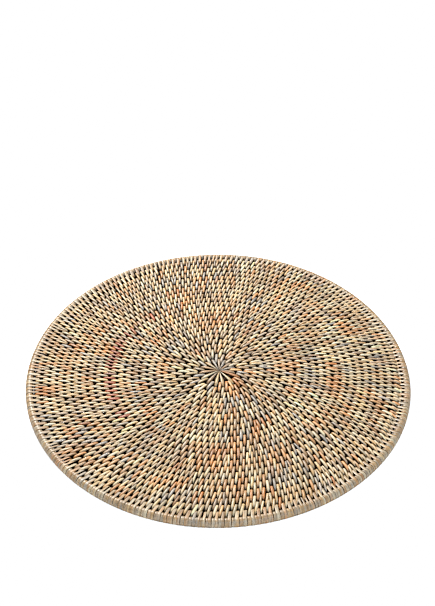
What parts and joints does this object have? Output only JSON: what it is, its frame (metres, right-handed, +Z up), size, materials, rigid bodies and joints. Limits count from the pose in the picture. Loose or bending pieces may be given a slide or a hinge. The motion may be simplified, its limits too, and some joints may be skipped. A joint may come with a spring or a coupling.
{
  "type": "round coiled cane placemat",
  "caption": "Flat round placemat of coiled cane, sewn with split cane strips in a spiral and closed by a bound rim rod.",
  "frame": {"origin": "middle of the mat, on the surface that it rests on", "axes": "+Z up through the mat's thickness; the coil grows outward counter-clockwise seen from above"},
  "size_m": [0.3802, 0.3798, 0.0094],
  "materials": {
    "coil_cane": "satin",
    "rim_cane": "satin"
  },
  "bodies": {
    "root": {"coiled_mat": "coil_cane", "rim": "rim_cane"}
  },
  "joints": []
}
